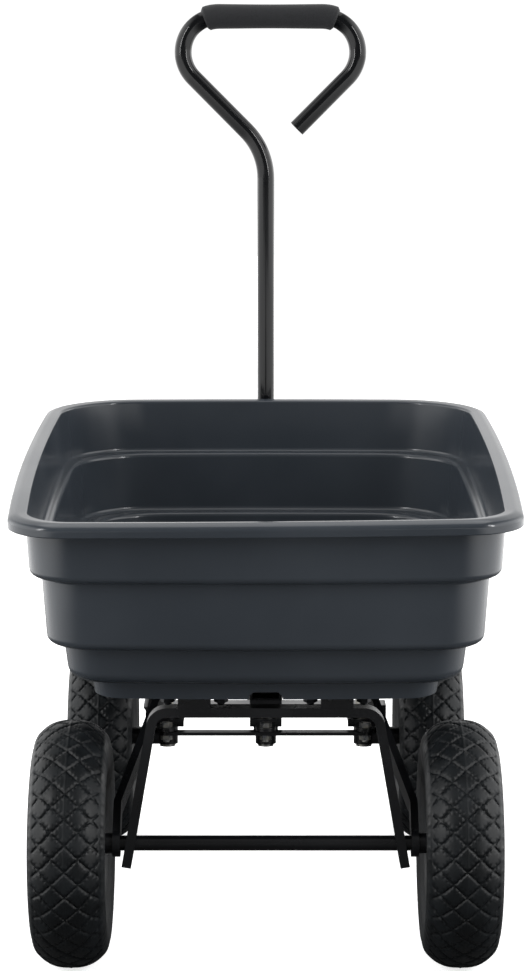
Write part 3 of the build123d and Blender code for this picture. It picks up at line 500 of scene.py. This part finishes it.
handle = {
    "dia": 22, "wall": 2, "tail": 16, "bendHeight": 866, "poleBend": 88, "loopBend": 46, "loopHeight": 1038,
    "loopHalf": 113, "loopShift": 6, "endHeight": 894, "pivotHeight": 150, "pivotHole": 10.1, "around": 48,
    "cutRound": 0.4, "holeSteps": 40,
}
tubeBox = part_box("handle_tube")
handleY = (tubeBox[0].y + tubeBox[1].y) / 2 / mm


def handlePath():
    # the centre line from the foot, up the pole and round the loop to its open end
    rise = handle["loopHeight"] - handle["bendHeight"]
    right = handle["loopShift"] + handle["loopHalf"] + handle["loopBend"] * sqrt(2)
    end = right - (handle["loopHeight"] - handle["endHeight"])
    corners = (
        (0, handle["pivotHeight"] - handle["tail"], 0), (0, handle["bendHeight"], handle["poleBend"]),
        (-rise, handle["loopHeight"], handle["loopBend"]), (right, handle["loopHeight"], handle["loopBend"]),
        (end, handle["endHeight"], 0),
    )
    return [Vector((x, handleY, z)) for x, z in roundedProfile(corners, 4)]


def buildHandle():
    path = handlePath()
    ends, radius, rounding = (0, len(path) - 1), handle["dia"] / 2, handle["cutRound"]
    outer = sweepRings(path, lambda index: radius - (rounding if index in ends else 0), handle["around"])
    inner = sweepRings(path, lambda index: radius - handle["wall"], handle["around"])
    # the cut ends are slightly rounded: one more ring a little way in, at the full size
    first = (path[1] - path[0]).normalized()
    last = (path[-1] - path[-2]).normalized()
    outer.insert(1, [p + (first + (p - path[0]).normalized()) * rounding for p in outer[0]])
    outer.insert(-1, [p + ((p - path[-1]).normalized() - last) * rounding for p in outer[-1]])
    verts, faces = loftRings(outer + inner[::-1], closed=True)
    piece = meshPiece("bent_handle_tube", verts, faces, "glossEnamelTube")
    steps = handle["holeSteps"]
    circle = [Vector((0, cos(2 * pi * k / steps), sin(2 * pi * k / steps))) for k in range(steps)]
    middles = [Vector((side * handle["dia"], handleY, handle["pivotHeight"])) for side in (-1, 1)]
    cutVerts, cutFaces = loftRings([[p + c * handle["pivotHole"] / 2 for c in circle] for p in middles])
    cutFaces += [tuple(range(steps)), tuple(range(steps, 2 * steps))]
    boolCut(piece, meshPiece("pivot_hole", cutVerts, cutFaces, "glossEnamelTube"), "DIFFERENCE")
    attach(piece, "handle")
    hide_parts("handle_tube")
    return path


grip = {
    "dia": 32, "half": 88, "round": 4, "bore": 22.4, "around": 48, "stepLength": 4,
    "slack": 0.35, "waist": 0.315,
}


def buildGrip(path):
    # the foam sleeve follows the handle's top, with rounded ends and a faint hand-worn waist
    shift = handle["loopShift"]
    lowest = handle["loopHeight"] - handle["loopBend"]
    stretch = [p for p in path if p.z > lowest and abs(p.x - shift) < grip["half"] - 1]
    fine = []
    for a, b in zip(stretch, stretch[1:]):
        count = max(1, round((b - a).length / grip["stepLength"]))
        fine += [a.lerp(b, k / count) for k in range(count)]
    fine.append(stretch[-1])
    total = sum((b - a).length for a, b in zip(fine, fine[1:]))
    reached = [0]
    for a, b in zip(fine, fine[1:]):
        reached.append(reached[-1] + (b - a).length)

    def radiusAt(index):
        nearEnd = min(reached[index], total - reached[index])
        rounding = grip["round"] - sqrt(max(0, grip["round"] ** 2 - max(0, grip["round"] - nearEnd) ** 2))
        waist = grip["waist"] * cos(2 * pi * reached[index] / total)
        return grip["dia"] / 2 - rounding - grip["slack"] + waist

    outer = sweepRings(fine, radiusAt, grip["around"])
    inner = sweepRings(fine, lambda index: grip["bore"] / 2, grip["around"])
    verts, faces = loftRings(outer + inner[::-1], closed=True)
    piece = meshPiece("foam_grip", verts, faces, "extrudedFoam", 60)
    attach(piece, "handle")
    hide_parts("handle_grip")


buildGrip(buildHandle())
print("handle made")


# Finishes for the pieces that keep their CAD shape
finishOf = {
    "powderCoatedSteel": (
        "hinge_hoop", "hinge_saddles", "striker", "rear_axle", "axle_sleeves", "rear_hoop", "spine",
        "front_pedestal", "front_beam", "rest_bar", "latch_bracket", "release_lever", "steering_head",
        "drawbar", "tie_bar", "knuckle_left", "knuckle_right",
    ),
    "zincPlatedSteel": (
        "axle_washers", "axle_cotter_pins", "kingpins", "thrust_washers", "pivot_bolt", "link_bolts",
        "stub_washers_left", "stub_washers_right", "stub_cotter_pin_left", "stub_cotter_pin_right",
        "latch_spring",
    ),
    "blackOxideSteel": ("tub_washers", "tub_bolts"),
    "dippedVinyl": ("lever_grip",),
    "butylRubber": ("rest_pads",),
    "mouldedBlackPlastic": ("beam_caps",),
}
# the radius in mm that each process leaves on an edge
edgeRound = {
    "powderCoatedSteel": 1.2, "zincPlatedSteel": 0.35, "blackOxideSteel": 0.35, "butylRubber": 1.5,
    "mouldedBlackPlastic": 0.8, "enamelledRim": 0.5,
}


def finishNode(node, finish):
    # the CAD mesh keeps its vertices; a small bevel rounds its edges as the real process leaves them
    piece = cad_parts[node]
    piece.data.materials.clear()
    piece.data.materials.append(materials[finish])
    piece.data.shade_smooth()
    piece.data.set_sharp_from_angle(angle=radians(30))
    if finish in edgeRound:
        bevel = piece.modifiers.new("roundedEdges", "BEVEL")
        bevel.width = edgeRound[finish] * mm
        bevel.segments = 2
        bevel.limit_method = "ANGLE"
        bevel.angle_limit = radians(50)
        bevel.harden_normals = True


for finish, nodes in finishOf.items():
    for node in nodes:
        finishNode(node, finish)
for wheel in wheelNames:
    finishNode(f"rim_halves_{wheel}", "enamelledRim")
    finishNode(f"hub_{wheel}", "zincPlatedSteel")
    finishNode(f"bearings_{wheel}", "groundSteel")
    finishNode(f"rim_bolts_{wheel}", "zincPlatedSteel")
    finishNode(f"inner_tube_{wheel}", "butylRubber")
print("CAD pieces finished")


# Floor, light and camera
stageLook = {
    "floor": "#f2f2f2", "floorGlow": 0.72, "floorSize": 60, "bounce": 0.12, "backdrop": 1.05,
    "sideGlow": 1.8, "sideFrom": 0.6, "sideFull": 1.5,
}


def buildFloor():
    # painted board: the eye sees it bright, the cart sees it dark below and lit to both sides
    size = stageLook["floorSize"] / 2
    mesh = bpy.data.meshes.new("floor")
    corners = [(-size, -size, 0), (size, -size, 0), (size, size, 0), (-size, size, 0)]
    mesh.from_pydata(corners, [], [(0, 1, 2, 3)])
    floorPiece = bpy.data.objects.new("floor", mesh)
    bpy.context.scene.collection.objects.link(floorPiece)
    material = bpy.data.materials.new("paintedBoard")
    material.use_nodes = True
    tree = material.node_tree
    tree.nodes.clear()
    pale = addNode(tree, "ShaderNodeBsdfDiffuse", {"Color": hexColour(stageLook["floor"])})
    glow = addNode(tree, "ShaderNodeEmission", {"Strength": stageLook["floorGlow"]})
    both = addNode(tree, "ShaderNodeAddShader", links={0: pale.outputs[0], 1: glow.outputs[0]})
    dark = addNode(tree, "ShaderNodeBsdfDiffuse", {"Color": (stageLook["bounce"],) * 3 + (1.0,)})
    place = addNode(tree, "ShaderNodeTexCoord").outputs["Object"]
    across = addNode(tree, "ShaderNodeSeparateXYZ", links={"Vector": place}).outputs["X"]
    away = addNode(tree, "ShaderNodeMath", {"operation": "ABSOLUTE"}, {0: across}).outputs[0]
    lit = addNode(tree, "ShaderNodeMapRange", {
        "interpolation_type": "SMOOTHSTEP", "From Min": stageLook["sideFrom"],
        "From Max": stageLook["sideFull"], "To Max": stageLook["sideGlow"],
    }, {"Value": away}).outputs["Result"]
    sides = addNode(tree, "ShaderNodeEmission", links={"Strength": lit})
    dim = addNode(tree, "ShaderNodeAddShader", links={0: dark.outputs[0], 1: sides.outputs[0]})
    seen = addNode(tree, "ShaderNodeLightPath").outputs["Is Camera Ray"]
    choice = addNode(tree, "ShaderNodeMixShader", links={0: seen, 1: dim.outputs[0], 2: both.outputs[0]})
    addNode(tree, "ShaderNodeOutputMaterial", links={"Surface": choice.outputs[0]})
    mesh.materials.append(material)


# the walls of light round the cart: direction axis, where the wall starts and is full, and its strength
lightWalls = (
    ("left", (-1, 0, 0), 0.45, 0.85, 2.4), ("right", (1, 0, 0), 0.45, 0.85, 2.4),
    ("back", (0, 1, 0), 0.3, 0.85, 1.0), ("front", (0, -1, 0), 0.5, 1.0, 0.17),
    ("top", (0, 0, 1), 0.35, 1.0, 0.3),
)


def buildWorld():
    # the eye sees a white backdrop; soft walls of light, each with its own strength, light the cart
    world = bpy.data.worlds.new("studio")
    world.use_nodes = True
    bpy.context.scene.world = world
    tree = world.node_tree
    tree.nodes.clear()
    direction = addNode(tree, "ShaderNodeTexCoord").outputs["Generated"]
    total = None
    for name, axis, start, full, strength in lightWalls:
        facing = addNode(tree, "ShaderNodeVectorMath", {
            "operation": "DOT_PRODUCT", 1: axis, "label": name,
        }, {0: direction})
        wall = addNode(tree, "ShaderNodeMapRange", {
            "interpolation_type": "SMOOTHSTEP", "From Min": start, "From Max": full, "To Max": strength,
        }, {"Value": facing.outputs["Value"]})
        if total is None:
            total = wall.outputs["Result"]
        else:
            both = {0: total, 1: wall.outputs["Result"]}
            total = addNode(tree, "ShaderNodeMath", {"operation": "ADD"}, both).outputs[0]
    walls = addNode(tree, "ShaderNodeBackground", links={"Strength": total})
    backdrop = addNode(tree, "ShaderNodeBackground", {"Strength": stageLook["backdrop"]})
    for background in (walls, backdrop):
        background.inputs["Color"].default_value = (1, 1, 1, 1)
    seen = addNode(tree, "ShaderNodeLightPath").outputs["Is Camera Ray"]
    choice = addNode(tree, "ShaderNodeMixShader", links={
        0: seen, 1: walls.outputs[0], 2: backdrop.outputs[0],
    })
    addNode(tree, "ShaderNodeOutputWorld", links={"Surface": choice.outputs[0]})


# name, place and aim in metres, width and height, power in watts
lights = (
    ("overheadBox", (0, 0.3, 2.6), (0, 0.1, 0.4), (1.8, 1.8), 14),
    ("leftStrip", (-1.9, -1.7, 1.7), (0, 0.1, 0.5), (0.16, 1.6), 20),
    ("rightStrip", (1.9, -1.7, 1.7), (0, 0.1, 0.5), (0.16, 1.6), 20),
)


def areaLight(name, spot, aim, size, power):
    light = bpy.data.lights.new(name, "AREA")
    light.shape = "RECTANGLE"
    light.size, light.size_y = size
    light.energy = power
    lamp = bpy.data.objects.new(name, light)
    lamp.location = spot
    lamp.rotation_euler = (Vector(aim) - Vector(spot)).to_track_quat("-Z", "Y").to_euler()
    bpy.context.scene.collection.objects.link(lamp)


view = {"x": 0.3, "behindAxle": 2875.1, "height": 819, "down": 6.14, "lens": 102.93}


def buildCamera():
    lens = bpy.data.cameras.new("camera")
    lens.lens = view["lens"]
    lens.sensor_width = 36
    camera = bpy.data.objects.new("camera", lens)
    camera.location = (view["x"] * mm, (rearY - view["behindAxle"]) * mm, view["height"] * mm)
    camera.rotation_euler = (radians(90 - view["down"]), 0, 0)
    bpy.context.scene.collection.objects.link(camera)
    bpy.context.scene.camera = camera


buildFloor()
for light in lights:
    areaLight(*light)
buildWorld()
buildCamera()
bpy.context.scene.view_settings.view_transform = "Standard"
print("stage made")
